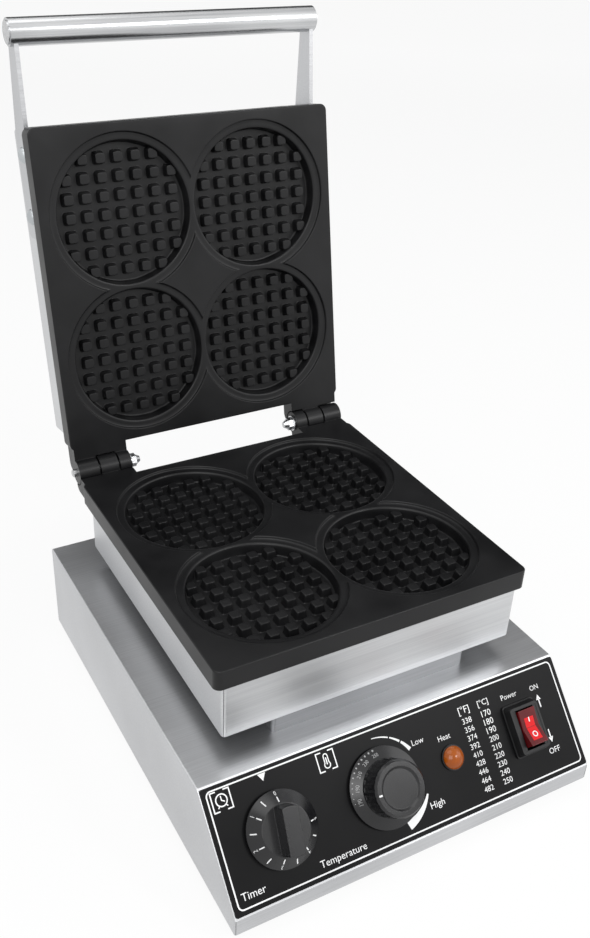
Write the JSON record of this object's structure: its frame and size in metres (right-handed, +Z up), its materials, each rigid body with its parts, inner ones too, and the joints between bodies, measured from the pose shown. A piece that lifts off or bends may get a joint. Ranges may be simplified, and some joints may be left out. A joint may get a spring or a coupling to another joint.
{
  "type": "belgian waffle maker",
  "caption": "Countertop waffle maker: stainless base with sloping control panel, hinged lid with bar handle, and black cast plates with round waffle cavities.",
  "frame": {"origin": "on the table under the middle of the whole footprint, with the lid standing open", "axes": "+Z up, front with the control panel to -Y, +X to the right as seen from the front"},
  "size_m": [0.27, 0.415, 0.4548],
  "materials": {
    "brushed_steel": "brushed",
    "polished_steel": "polished",
    "coated_casting": "black non-stick coating",
    "printed_panel": "printed film, satin",
    "black_plastic": "moulded",
    "rubber": "moulded",
    "amber_lens": "clear amber",
    "red_rocker": "clear red",
    "zinc_steel": "zinc plated",
    "heater_sheath": "oxidised",
    "mineral_wool": "felted",
    "white_block": "moulded"
  },
  "bodies": {
    "base": {"base_housing": "brushed_steel", "bottom_cover": "brushed_steel", "bush_nuts": "zinc_steel", "cable_gland": "black_plastic", "capillary_tube": "zinc_steel", "control_panel": "printed_panel", "cover_screws": "zinc_steel", "foot_screws": "zinc_steel", "gland_nut": "black_plastic", "hinge_nuts": "polished_steel", "hinge_pin_left": "polished_steel", "hinge_pin_right": "polished_steel", "lamp_lens": "amber_lens", "lower_bolts": "zinc_steel", "lower_box": "brushed_steel", "lower_clamp": "zinc_steel", "lower_heater": "heater_sheath", "lower_plate": "coated_casting", "lower_wool": "mineral_wool", "neck": "brushed_steel", "pilot_lamp": "black_plastic", "rubber_feet": "rubber", "switch_frame": "black_plastic", "terminal_block": "white_block", "thermostat_body": "white_block", "thermostat_bulb": "zinc_steel", "timer_body": "zinc_steel"},
    "lid": {"handle_bar": "polished_steel", "handle_plugs": "polished_steel", "handle_screws": "polished_steel", "handle_strap_left": "brushed_steel", "handle_strap_right": "brushed_steel", "lid_bolts": "zinc_steel", "lid_clamp": "zinc_steel", "lid_cover": "brushed_steel", "lid_heater": "heater_sheath", "lid_plate": "coated_casting", "lid_wool": "mineral_wool"},
    "timer_dial": {"timer_knob": "black_plastic", "timer_shaft": "zinc_steel"},
    "thermostat_dial": {"thermostat_knob": "black_plastic", "thermostat_shaft": "zinc_steel"},
    "power_rocker": {"switch_rocker": "red_rocker"}
  },
  "joints": [
    {"name": "lid_hinge", "type": "hinge", "parent": "base", "child": "lid", "pos_m": [0, 0.10875, 0.149], "axis": [1, 0, 0], "range_deg": [0, 100.5]},
    {"name": "timer_turn", "type": "hinge", "parent": "base", "child": "timer_dial", "pos_m": [-0.092, -0.17953, 0.05197], "axis": [0, -0.7361, 0.6769], "range_deg": [-300, 0]},
    {"name": "thermostat_turn", "type": "hinge", "parent": "base", "child": "thermostat_dial", "pos_m": [-0.018, -0.18021, 0.05123], "axis": [0, -0.7361, 0.6769], "range_deg": [-240, 30]},
    {"name": "rocker_tip", "type": "hinge", "parent": "base", "child": "power_rocker", "pos_m": [0.0945, -0.18321, 0.05536], "axis": [1, 0, 0], "range_deg": [0, 20]}
  ]
}
